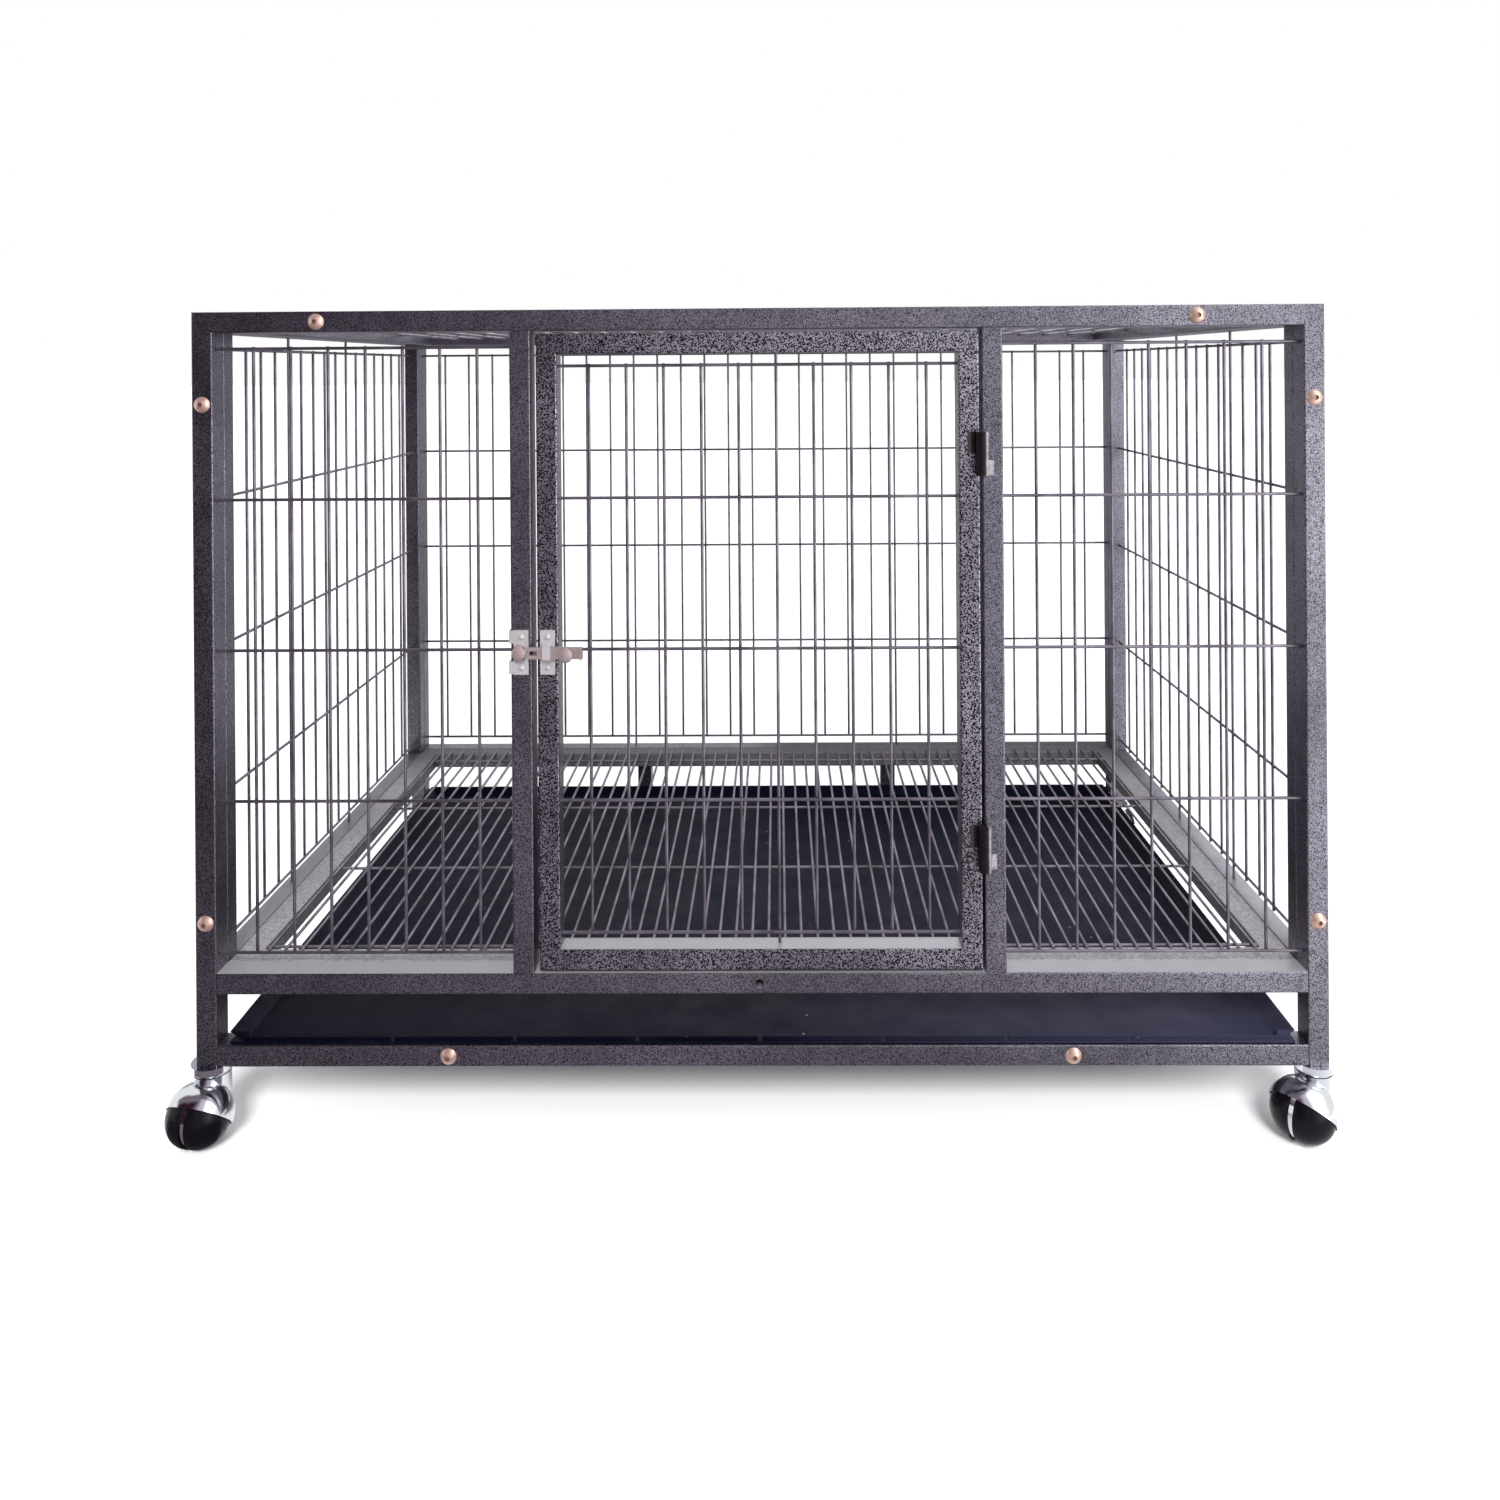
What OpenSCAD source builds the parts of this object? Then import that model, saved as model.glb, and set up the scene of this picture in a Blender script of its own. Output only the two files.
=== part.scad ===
// Wheeled kennel cage: bolted panels of rectangular tube filled with welded wire mesh, a front
// swing door with a slide latch, a floor grate over a pull-out tray, and four hooded ball casters.
// Millimetres, +Z up, the front faces -Y, origin on the floor under the middle of the cage.

/* [Cage] */
// Width of the frame across the front
cage_w = 1070; // [900:10:1300]
// Depth of the frame from front to back
cage_d = 698; // [600:2:900]
// Height of the frame above the casters
cage_h = 716; // [620:2:900]
// Height of the tray slot under the lower rail
slot_h = 48.5; // [42:0.5:70]
// Distance of each back strut from the middle
strut_x = 183; // [120:1:240]

/* [Tube] */
// Width of a tube's face, seen square to its panel
tube_face = 20; // [18:0.5:24]
// Depth of the front, back, roof and floor tubes
tube_depth = 25; // [22:0.5:30]
// Wall thickness of every tube
tube_wall = 1.2; // [1:0.1:1.6]
// Radius of the tubes' long edges
tube_round = 1.8; // [1.2:0.1:2.4]
// Root gap left in the welded joints between tubes
weld_gap = 0.05; // [0.02:0.01:0.1]

/* [Mesh] */
// Diameter of the mesh wires
wire_d = 3; // [2.4:0.1:4]
// Spacing of the upright wires
mesh_pitch = 35.8; // [30:0.2:45]
// Spacing of the middle level wires
row_pitch = 144.2; // [110:0.2:170]
// Distance of the outer level wires from the rails
row_edge = 15; // [10:0.5:25]
// How far an upright wire runs past the outer level wires
wire_tail = 2; // [1:0.5:5]
// How far crossing wires sink into each other at a weld
weld_sink = 0.3; // [0.2:0.05:0.6]
// Least distance of the outer uprights from the tubes beside them
mesh_edge = 26; // [18:1:34]
// Least distance of the outer uprights from the tubes on the two sides
side_edge = 50; // [18:1:60]

/* [Door] */
// Width of the opening between the door posts
door_open_w = 426; // [380:2:480]
// Gap between the door and its hinge post
door_gap_hinge = 2; // [1.5:0.5:4]
// Gap between the door and its latch post
door_gap_latch = 5; // [4:0.5:9]
// Gap over and under the door
door_gap_z = 2.5; // [1:0.5:4]
// Distance of the door's outer level wires from its tubes
door_row_edge = 11; // [8:0.5:20]

/* [Hinges] */
// Distance of each hinge's middle from the door's end
hinge_inset = 116; // [80:1:160]
// Radius of a hinge barrel
hinge_r = 6; // [5:0.5:7]
// Length of a whole hinge barrel
hinge_len = 41; // [34:1:50]
// Width of a hinge leaf from the barrel's axis
leaf_w = 12; // [10:0.5:15]
// Thickness of a hinge leaf
leaf_t = 2; // [1.5:0.1:3]
// Height of the short tab on the post
tab_h = 14; // [10:1:16]
// Diameter of a hinge pin
hinge_pin_d = 6; // [5:0.5:7]

/* [Latch] */
// Width of the keeper and bracket plates
plate_w = 14; // [12:0.5:16]
// Height of the keeper and bracket plates
plate_h = 42; // [38:1:50]
// Thickness of the keeper and bracket plates
plate_t = 1.5; // [1:0.1:2]
// Length of the sliding bar
bar_len = 52; // [46:1:60]
// Height of the sliding bar
bar_h = 11; // [9:0.5:12]
// Thickness of the sliding bar
bar_t = 4.5; // [4.2:0.1:5]
// Clearance round the sliding bar
bar_clear = 0.4; // [0.3:0.05:0.6]
// Length of the window in the bar
window_len = 7; // [5:0.5:9]
// Height of the window in the bar
window_h = 4; // [3:0.5:5]
// Radius of the domed keeper
keeper_r = 7.6; // [7:0.1:8.5]
// Thickness of the keeper's crown and of the bracket's strap
strap_t = 1.5; // [1.2:0.1:2]
// Width of the bracket's strap
strap_w = 8; // [6:0.5:10]
// Distance of each plate screw from the middle
screw_z = 14.5; // [12:0.5:17]
// Diameter of a screw head
screw_head_d = 6; // [5:0.5:7]
// Diameter of the knob
knob_d = 13.5; // [11:0.5:16]
// Distance the knob stands off the bar
knob_stand = 3; // [2:0.5:5]

/* [Floor] */
// Spacing of the grate's long wires
grate_pitch = 16.4; // [14:0.2:22]
// Least distance of the outer long wires from the side rails
grate_edge = 6; // [4:0.5:12]
// Spacing of the grate's cross wires
grate_row_pitch = 187; // [160:1:220]
// Distance of the first cross wire from the front floor rail
grate_row_first = 6; // [4:0.5:12]
// How far the long wires lie on the floor rails
grate_lap = 6; // [4:0.5:12]

/* [Tray] */
// Gap between the tray and the posts on each side
tray_side_gap = 11; // [4:0.5:20]
// How far the tray's lip stands back from the front face
tray_front_inset = 3; // [0:0.5:8]
// Gap between the tray and the back struts
tray_back_gap = 2.5; // [1:0.5:6]
// Height of the tray's rim
tray_rim = 12; // [8:1:25]
// How far the tray's sides and back lean out
tray_flare = 14; // [6:0.5:20]
// How far the tray's front leans out
front_flare = 3; // [1:0.5:8]
// Height of the tray's front lip
tray_lip = 6; // [4:0.5:8]
// Depth of the flat foot along the tray's front
foot_d = 12; // [6:1:20]
// Thickness of the tray
tray_t = 2; // [1.5:0.1:3]
// Running clearance under the tray
tray_clear = 0.3; // [0.2:0.05:0.6]
// Spacing of the notches in the tray's lip
notch_pitch = 116.5; // [80:0.5:160]
// Distance of each runner tube from the middle
runner_x = 295; // [200:1:360]

/* [Bolts] */
// Diameter of the panel bolts
bolt_d = 8; // [6:0.5:8]
// Diameter of a bolt's button head
bolt_head_d = 15.5; // [12:0.5:16]
// Height of a bolt's button head
bolt_head_h = 4.4; // [3:0.1:5]
// Clearance of a bolt hole on the diameter
bolt_clear = 0.4; // [0.2:0.05:0.8]
// Distance of the upper side bolts below the frame's top
side_bolt_top = 88; // [60:1:140]
// Distance of the lower side bolts above the frame's foot
side_bolt_low = 136; // [115:1:180]
// Distance of each roof bolt from the middle
roof_bolt_x = 416; // [250:1:440]
// Width of a weld nut across its flats
nut_w = 13; // [11:0.5:13]
// Height of a weld nut
nut_h = 6.5; // [5:0.5:8]

/* [Casters] */
// Height of a caster under the frame
caster_h = 68; // [66:0.5:84]
// Radius of the ball wheel
wheel_r = 27; // [24:0.5:27.5]
// Gap between the wheel and its hood
hood_gap = 1; // [0.6:0.1:1.5]
// Thickness of the hood
hood_t = 1.5; // [1.2:0.1:2]
// Tilt of the hood's mouth
hood_tilt = 44; // [10:1:55]
// Thickness of the web between the wheel halves
web_t = 5; // [1.5:0.1:6]
// Gap between the web and each wheel half
web_gap = 0.4; // [0.3:0.05:0.8]
// Diameter of the wheel's axle
axle_d = 8; // [6:0.5:10]
// Running clearance of axles, pins and stems on the diameter
pin_clear = 0.12; // [0.06:0.02:0.2]
// Distance of the ball behind the swivel axis
caster_offset = 21; // [18:0.5:22]
// Diameter of the swivel cup
cup_d = 38; // [34:1:44]
// Height of the swivel cup
cup_h = 9; // [7:0.5:12]
// Diameter of the caster's stem
stem_d = 10; // [8:0.5:11]
// Heading of the front left caster
turn_fl = -100; // [-180:1:180]
// Heading of the front right caster
turn_fr = -140; // [-180:1:180]

/* [Hidden] */
$fn = 32;

// Panel planes and levels
front_y = -cage_d / 2;
front_in = front_y + tube_depth;
half_w = cage_w / 2;
post_in = half_w - tube_face;
rail_low = tube_face + slot_h;
rail_top = rail_low + tube_face;
roof_low = cage_h - tube_face;
side_len = cage_d - 2 * tube_depth;
post_x = half_w - tube_face / 2;
hole_d = bolt_d + bolt_clear;
cut = 1;

// Door, hinge axis and latch
opening = door_open_w / 2;
door_left = -opening + door_gap_latch;
door_right = opening - door_gap_hinge;
door_low = rail_top + door_gap_z;
door_high = roof_low - door_gap_z;
door_mid = (door_low + door_high) / 2;
face_clear = 0.6;
hinge_x = door_right + door_gap_hinge / 2;
hinge_y = front_y - hinge_r - face_clear;
knuckle_gap = 0.3;
hinge_levels = [door_low + hinge_inset, door_high - hinge_inset];
latch_z = caster_h + door_mid;
keeper_x = -opening - tube_face / 2;
bracket_x = door_left + tube_face / 2;
dome_x = keeper_x - 1.5;
bar_tip = dome_x + keeper_r + 0.5;
bar_y = front_y - plate_t - bar_clear;
strap_top = bar_t + 2 * bar_clear + strap_t;

// Tray and floor
tray_w = 2 * (post_in - tray_side_gap);
tray_d = cage_d - tube_depth - tray_front_inset - tray_back_gap;
floor_in_x = post_in - tube_depth;
floor_in_y = side_len / 2 - tube_depth;
weld_step = (wire_d - weld_sink) / 2;

// Casters: swivel position, heading and which caster it is
hood_in = wheel_r + hood_gap;
hood_r = hood_in + hood_t;
cup_low = caster_h - cup_h;
neck_top = cup_low - 0.5;
stem_end = neck_top - 6;
socket_h = 14;
foot_y = cage_d / 2 - tube_depth / 2;
FL = [-post_x, -foot_y, turn_fl];
FR = [post_x, -foot_y, turn_fr];
RL = [-post_x, foot_y, turn_fr + 180];
RR = [post_x, foot_y, turn_fl + 180];
ball = [caster_offset, 0, wheel_r];

function levels(low, high, edge) =
  let(mid = (low + high) / 2)
  [low + edge, mid - row_pitch, mid, mid + row_pitch, high - edge];
function centred(low, high, edge, pitch) =
  let(n = floor((high - low - 2 * edge) / pitch) + 1, mid = (low + high) / 2)
  [for (i = [0:n - 1]) mid + (i - (n - 1) / 2) * pitch];
// Uprights that run on to the rails as legs, by their share of the way along the row
function legs(columns, shares) = [for (s = shares) floor(s * len(columns))];

// Hollow tube along +X: a wide, b deep, with rounded long edges
module tube(length, a, b) {
  r = tube_round;
  difference() {
    rotate([90, 0, 90])
      linear_extrude(length) {
        translate([r, 0]) square([a - 2 * r, b]);
        translate([0, r]) square([a, b - 2 * r]);
        for (x = [r, a - r], y = [r, b - r]) translate([x, y]) circle(r = r);
      }
    translate([-cut, tube_wall, tube_wall])
      cube([length + 2 * cut, a - 2 * tube_wall, b - 2 * tube_wall]);
  }
}

// Level and upright tubes of a flat panel drawing, with a weld gap at both ends
module rail(from, to, v, face, depth) {
  translate([from + weld_gap, v, 0]) tube(to - from - 2 * weld_gap, face, depth);
}
module upright(u, from, to, face, depth) {
  translate([u + face, from + weld_gap, 0])
    rotate([0, 0, 90]) tube(to - from - 2 * weld_gap, face, depth);
}

// Everything to the left of a line that runs through u, v at an angle
module beyond(u, v, angle) {
  big = 100;
  translate([u, v, -cut]) rotate([0, 0, angle]) translate([-big / 2, 0, 0]) cube([big, big, big]);
}

// Rectangle of four tubes with mitred corners
module ring(u0, u1, v0, v1, face, depth) {
  g = weld_gap;
  difference() {
    rail(u0, u1, v0, face, depth);
    beyond(u0 + g, v0, 45);
    beyond(u1 - g, v0, -45);
  }
  difference() {
    rail(u0, u1, v1 - face, face, depth);
    beyond(u0 + g, v1, 135);
    beyond(u1 - g, v1, 225);
  }
  difference() {
    upright(u0, v0, v1, face, depth);
    beyond(u0 - g, v0, 225);
    beyond(u0 - g, v1, -45);
  }
  difference() {
    upright(u1 - face, v0, v1, face, depth);
    beyond(u1 + g, v0, 135);
    beyond(u1 + g, v1, 45);
  }
}

// Welded mesh: level wires from side to side, uprights behind them, a few running on as legs
module mesh(u0, u1, v0, v1, columns, rows, mid, shares) {
  last = len(rows) - 1;
  for (v = rows)
    translate([u0, v, mid + weld_step])
      rotate([0, 90, 0]) cylinder(h = u1 - u0, d = wire_d);
  for (i = [0:len(columns) - 1]) {
    leg = len(search(i, legs(columns, shares))) > 0;
    low = leg ? v0 : rows[0] - wire_tail;
    high = leg ? v1 : rows[last] + wire_tail;
    translate([columns[i], low, mid - weld_step])
      rotate([-90, 0, 0]) cylinder(h = high - low, d = wire_d);
  }
}

// Places a flat drawing as a panel: u and v become the panel's width and height
module front_panel() {
  translate([0, front_in, caster_h]) rotate([90, 0, 0]) children();
}
module back_panel() {
  translate([0, -front_y, caster_h]) rotate([90, 0, 0]) children();
}
module side_panel(x) {
  translate([x, 0, caster_h]) rotate([90, 0, 90]) children();
}
module flat_panel(z) {
  translate([0, 0, caster_h + z]) children();
}

// Round hole or shank along +Y
module along_y(x, y, z, length, d) {
  translate([x, y, caster_h + z]) rotate([-90, 0, 0]) cylinder(h = length, d = d);
}

// Places of the panel bolts on the front face, repeated on the back
bolt_places = concat(
  [for (s = [-1, 1], z = [side_bolt_low, cage_h - side_bolt_top]) [s * post_x, z]],
  [for (s = [-1, 1]) [s * roof_bolt_x, cage_h - tube_face / 2]],
  [for (s = [-1, 1]) [s * runner_x, tube_face / 2]]);
floor_bolt = [0, rail_low + tube_face / 2];
nut_places = [for (i = [0:5]) bolt_places[i]];
plug_places = [for (i = [6:7]) bolt_places[i]];

// Bolt holes through both end panels and into the parts behind them
module bolt_holes() {
  deep = tube_depth + tube_wall + cut;
  for (p = concat(bolt_places, [floor_bolt]))
    for (y = [front_y - cut, -front_y - deep])
      along_y(p[0], y, p[1], deep + cut, hole_d);
}

// Two posts and the top rail, mitred at the top, with the bottom and lower rails between the posts
module end_frame() {
  f = tube_face;
  g = weld_gap;
  difference() {
    upright(-half_w, 0, cage_h, f, tube_depth);
    beyond(-half_w - g, cage_h, -45);
  }
  difference() {
    upright(post_in, 0, cage_h, f, tube_depth);
    beyond(half_w + g, cage_h, 45);
  }
  difference() {
    rail(-half_w, half_w, roof_low, f, tube_depth);
    beyond(-half_w + g, cage_h, 135);
    beyond(half_w - g, cage_h, 225);
  }
  rail(-post_in, post_in, 0, f, tube_depth);
  rail(-post_in, post_in, rail_low, f, tube_depth);
}

module front_frame() {
  color("#3b373c")
    difference() {
      front_panel() {
        end_frame();
        upright(-opening - tube_face, rail_top, roof_low, tube_face, tube_depth);
        upright(opening, rail_top, roof_low, tube_face, tube_depth);
      }
      bolt_holes();
    }
}

module back_frame() {
  color("#3b373c")
    difference() {
      back_panel() {
        end_frame();
        for (s = [-1, 1])
          upright(s * strut_x - tube_face / 2, tube_face, rail_low, tube_face, tube_depth);
      }
      bolt_holes();
    }
}

module bay_mesh(side) {
  ends = [side * post_in, side * (opening + tube_face)];
  u = [min(ends), max(ends)];
  color("#4a474b")
    front_panel()
      mesh(u[0], u[1], rail_top, roof_low, centred(u[0], u[1], mesh_edge, mesh_pitch),
        levels(rail_top, roof_low, row_edge), tube_depth / 2, []);
}
module front_mesh_left() { bay_mesh(-1); }
module front_mesh_right() { bay_mesh(1); }

module back_mesh() {
  color("#4a474b")
    back_panel()
      mesh(-post_in, post_in, rail_top, roof_low, centred(-post_in, post_in, mesh_edge, mesh_pitch),
        levels(rail_top, roof_low, row_edge), tube_depth / 2, [0.3, 0.7]);
}

module side_frame(x) {
  color("#3b373c")
    difference() {
      side_panel(x) ring(-side_len / 2, side_len / 2, rail_low, cage_h, tube_face, tube_face);
      bolt_holes();
    }
}
module left_frame() { side_frame(-half_w); }
module right_frame() { side_frame(post_in); }

module side_mesh(x) {
  inner = side_len / 2 - tube_face;
  color("#4a474b")
    side_panel(x)
      mesh(-inner, inner, rail_top, roof_low, centred(-inner, inner, side_edge, mesh_pitch),
        levels(rail_top, roof_low, row_edge), tube_face / 2, [0.2, 0.55]);
}
module left_mesh() { side_mesh(-half_w); }
module right_mesh() { side_mesh(post_in); }

module level_frame(z) {
  color("#4b484d")
    difference() {
      flat_panel(z) ring(-post_in, post_in, -side_len / 2, side_len / 2, tube_depth, tube_face);
      bolt_holes();
    }
}
module roof_frame() { level_frame(roof_low); }
module floor_frame() { level_frame(rail_low); }

module roof_mesh() {
  columns = centred(-floor_in_x, floor_in_x, mesh_edge, mesh_pitch);
  color("#4a474b")
    flat_panel(roof_low)
      mesh(-floor_in_x, floor_in_x, -floor_in_y, floor_in_y, columns,
        levels(-floor_in_y, floor_in_y, row_edge), tube_face / 2, [0.3, 0.7]);
}

// Long wires lie on the floor rails, cross wires run under them between the side rails
module floor_grate() {
  last_row = 2 * floor_in_y - grate_row_first - wire_d;
  long = 2 * (floor_in_y + grate_lap);
  color("#57545a")
    flat_panel(rail_low + tube_face + wire_d / 2) {
      for (x = centred(-floor_in_x, floor_in_x, grate_edge, grate_pitch))
        translate([x, -long / 2, 0]) rotate([-90, 0, 0]) cylinder(h = long, d = wire_d);
      for (y = [grate_row_first:grate_row_pitch:last_row])
        translate([-floor_in_x, y - floor_in_y, weld_sink - wire_d])
          rotate([0, 90, 0]) cylinder(h = 2 * floor_in_x, d = wire_d);
    }
}

module tray_runners() {
  color("#3b373c")
    for (s = [-1, 1])
      translate([s * runner_x + tube_depth / 2, -side_len / 2, caster_h])
        rotate([0, 0, 90]) tube(side_len, tube_depth, tube_face);
}

// Threaded blocks in the ends of the runner tubes
plug_fit = 0.1;
plug_len = 10;
module runner_plugs() {
  w = tube_depth - 2 * tube_wall - 2 * plug_fit;
  h = tube_face - 2 * tube_wall - 2 * plug_fit;
  color("silver")
    for (p = plug_places, s = [-1, 1])
      difference() {
        translate([p[0] - w / 2, s * (side_len / 2 - plug_len / 2) - plug_len / 2, caster_h + p[1] - h / 2])
          cube([w, plug_len, h]);
        along_y(p[0], s * (side_len / 2 - plug_len / 2) - plug_len, p[1], 2 * plug_len, bolt_d + pin_clear);
      }
}

// How far a leaning wall of the tray stands in from its rim at a height
function lean(flare, z) = flare * (1 - z / tray_rim);

// Pan shape between two heights, its walls leaning out, drawn in by the wall thicknesses
module pan(low, high, wall, front_wall) {
  x0 = tray_w / 2 - lean(tray_flare, low) - wall;
  x1 = tray_w / 2 - lean(tray_flare, high) - wall;
  y0 = tray_d / 2 - lean(tray_flare, low) - wall;
  y1 = tray_d / 2 - lean(tray_flare, high) - wall;
  f0 = tray_d / 2 - lean(front_flare, low) - front_wall;
  f1 = tray_d / 2 - lean(front_flare, high) - front_wall;
  intersection() {
    rotate([90, 0, 0])
      linear_extrude(2 * tray_d, center = true)
        polygon([[-x0, low], [x0, low], [x1, high], [-x1, high]]);
    rotate([90, 0, 90])
      linear_extrude(2 * tray_w, center = true)
        polygon([[-f0, low], [y0, low], [y1, high], [-f1, high]]);
  }
}

// Shallow tray with leaning walls, a flat foot and a low notched lip along the front
module tray() {
  wall = tray_t * norm([tray_flare, tray_rim]) / tray_rim;
  front_wall = tray_t * norm([front_flare, tray_rim]) / tray_rim;
  lip_w = tray_w - 2 * (tray_flare + wall);
  notches = floor(lip_w / 2 / notch_pitch - 0.2);
  notch_w = 4;
  lip_depth = front_flare + front_wall + 2 * cut;
  color("#22222c")
    translate([0, front_y + tray_front_inset + tray_d / 2, caster_h + tube_face + tray_clear])
      difference() {
        union() {
          pan(0, tray_rim, 0, 0);
          translate([-tray_w / 2, -tray_d / 2, 0]) cube([tray_w, foot_d, tray_t]);
        }
        pan(tray_t, tray_rim + cut, wall, front_wall);
        translate([-lip_w / 2, -tray_d / 2 - cut, tray_lip])
          cube([lip_w, lip_depth, tray_rim]);
        for (i = [-notches:notches])
          translate([i * notch_pitch - notch_w / 2, -tray_d / 2 - cut, tray_t])
            cube([notch_w, lip_depth, tray_rim]);
      }
}

// Button head bolt along +Y with its seat at y = 0
module bolt(length) {
  dome_r = (pow(bolt_head_d / 2, 2) + pow(bolt_head_h, 2)) / (2 * bolt_head_h);
  socket_w = 5;
  rotate([-90, 0, 0]) {
    cylinder(h = length, d = bolt_d);
    difference() {
      intersection() {
        translate([0, 0, -bolt_head_h]) cylinder(h = bolt_head_h, d = bolt_head_d);
        translate([0, 0, dome_r - bolt_head_h]) sphere(r = dome_r);
      }
      translate([0, 0, -bolt_head_h - cut]) cylinder(h = bolt_head_h * 0.6 + cut, d = socket_w, $fn = 6);
    }
  }
}

bolt_len = tube_depth + tube_wall + nut_h;
module front_bolts() {
  color("#b8865a")
    for (p = bolt_places)
      translate([p[0], front_y, caster_h + p[1]]) bolt(bolt_len);
}
module back_bolts() {
  color("#b8865a")
    for (p = concat(bolt_places, [floor_bolt]))
      translate([p[0], -front_y, caster_h + p[1]]) rotate([0, 0, 180]) bolt(bolt_len);
}

// Hex nuts welded behind the walls that the bolts pull on
module weld_nuts() {
  color("silver")
    for (s = [-1, 1], p = s > 0 ? concat(nut_places, [floor_bolt]) : nut_places)
      translate([p[0], s * (side_len / 2 - tube_wall - nut_h / 2), caster_h + p[1]])
        rotate([90, 0, 0])
          difference() {
            cylinder(h = nut_h, d = nut_w / cos(30), center = true, $fn = 6);
            cylinder(h = nut_h + 2 * cut, d = bolt_d + pin_clear, center = true);
          }
}

module door_frame() {
  color("#5c595f")
    front_panel() ring(door_left, door_right, door_low, door_high, tube_face, tube_depth);
}

module door_mesh() {
  u = [door_left + tube_face, door_right - tube_face];
  v = [door_low + tube_face, door_high - tube_face];
  color("#4a474b")
    front_panel()
      mesh(u[0], u[1], v[0], v[1], centred(u[0], u[1], mesh_edge, mesh_pitch),
        levels(v[0], v[1], door_row_edge), tube_depth / 2, [0.5]);
}

// Upper halves of the lift-off hinges, blind over the pins and welded to the door
knuckle_h = hinge_len / 2 - knuckle_gap / 2;
pin_reach = hinge_len / 2 - 4;
module hinge_knuckles() {
  color("#2f2c30")
    for (z = hinge_levels)
      translate([hinge_x, hinge_y, caster_h + z + knuckle_gap / 2])
        difference() {
          union() {
            cylinder(h = knuckle_h, r = hinge_r);
            translate([-leaf_w, hinge_r + face_clear - leaf_t, 0]) cube([leaf_w, leaf_t, knuckle_h]);
          }
          translate([0, 0, -cut]) cylinder(h = pin_reach + 2 * cut, d = hinge_pin_d + pin_clear);
        }
}

// Lower halves, with the short tab welded to the post
module hinge_tabs() {
  color("#77747a")
    for (z = hinge_levels)
      translate([hinge_x, hinge_y, caster_h + z - hinge_len / 2])
        difference() {
          union() {
            cylinder(h = knuckle_h, r = hinge_r);
            translate([0, hinge_r + face_clear - leaf_t, 0]) cube([leaf_w, leaf_t, tab_h]);
          }
          translate([0, 0, -cut]) cylinder(h = hinge_len, d = hinge_pin_d + pin_fit);
        }
}

pin_fit = 0.02;
module hinge_pins() {
  color("silver")
    for (z = hinge_levels)
      translate([hinge_x, hinge_y, caster_h + z - hinge_len / 2])
        cylinder(h = hinge_len / 2 + pin_reach, d = hinge_pin_d);
}

// Keeper: plate with ears round the post and a domed loop that the bar slides through
ear_h = 12;
ear_wrap = 12;
module latch_keeper() {
  loop_h = strap_top + bar_clear;
  dome_r = 12;
  post_left = -opening - tube_face;
  color("#c9c4c2")
    translate([0, front_y, latch_z])
      difference() {
        union() {
          translate([keeper_x - plate_w / 2, -plate_t, -plate_h / 2]) cube([plate_w, plate_t, plate_h]);
          for (s = [-1, 1])
            translate([post_left - plate_t, -plate_t, s * screw_z - ear_h / 2]) {
              cube([keeper_x - post_left, plate_t, ear_h]);
              cube([plate_t, plate_t + ear_wrap, ear_h]);
            }
          translate([dome_x, -plate_t, 0])
            rotate([90, 0, 0])
              intersection() {
                cylinder(h = loop_h, r = keeper_r);
                translate([0, 0, loop_h - dome_r]) sphere(r = dome_r);
              }
        }
        translate([dome_x - 2 * keeper_r, -plate_t - bar_t - 2 * bar_clear, -bar_h / 2 - bar_clear])
          cube([4 * keeper_r, bar_t + 2 * bar_clear, bar_h + 2 * bar_clear]);
        for (s = [-1, 1]) screw_hole(keeper_x, s);
      }
}

screw_d = 3.5;
module screw_hole(x, s) {
  translate([x, cut, s * screw_z])
    rotate([90, 0, 0]) cylinder(h = plate_t + 2 * cut, d = screw_d + bolt_clear);
}

// Pan head screws of a latch plate
module plate_screws(x) {
  head_h = 2;
  dome_r = (pow(screw_head_d / 2, 2) + pow(head_h, 2)) / (2 * head_h);
  color("#d8d6d4")
    translate([x, front_y - plate_t, latch_z])
      for (s = [-1, 1])
        translate([0, 0, s * screw_z])
          rotate([90, 0, 0]) {
            intersection() {
              cylinder(h = head_h, d = screw_head_d);
              translate([0, 0, head_h - dome_r]) sphere(r = dome_r);
            }
            translate([0, 0, -plate_t]) cylinder(h = plate_t, d = screw_d);
          }
}
module keeper_screws() { plate_screws(keeper_x); }
module bracket_screws() { plate_screws(bracket_x); }

// Bracket: plate with a strap bent over the bar
module latch_bracket() {
  leg = bar_h / 2 + bar_clear;
  slot = bar_t + 2 * bar_clear;
  color("#c9c4c2")
    translate([bracket_x, front_y, latch_z])
      difference() {
        union() {
          translate([-plate_w / 2, -plate_t, -plate_h / 2]) cube([plate_w, plate_t, plate_h]);
          translate([-strap_w / 2, -plate_t, 0])
            rotate([90, 0, 90])
              linear_extrude(strap_w)
                polygon([[0, -leg - 2 * strap_t], [-slot - strap_t, -leg], [-slot - strap_t, leg],
                  [0, leg + 2 * strap_t]]);
        }
        translate([-plate_w, -plate_t - slot, -leg]) cube([2 * plate_w, slot, 2 * leg]);
        for (s = [-1, 1]) screw_hole(0, s);
      }
}

// Sliding bar with its window, turned up at the finger end
module latch_bar() {
  turn_t = 2;
  window_from = 2;
  color("#d2cecb")
    translate([bar_tip, bar_y - bar_t, latch_z])
      difference() {
        union() {
          translate([0, 0, -bar_h / 2]) cube([bar_len, bar_t, bar_h]);
          translate([bar_len - turn_t, -bar_t, -bar_h / 2]) cube([turn_t, bar_t, bar_h]);
        }
        translate([window_from, -cut, -window_h / 2]) cube([window_len, bar_t + 2 * cut, window_h]);
      }
}

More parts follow.
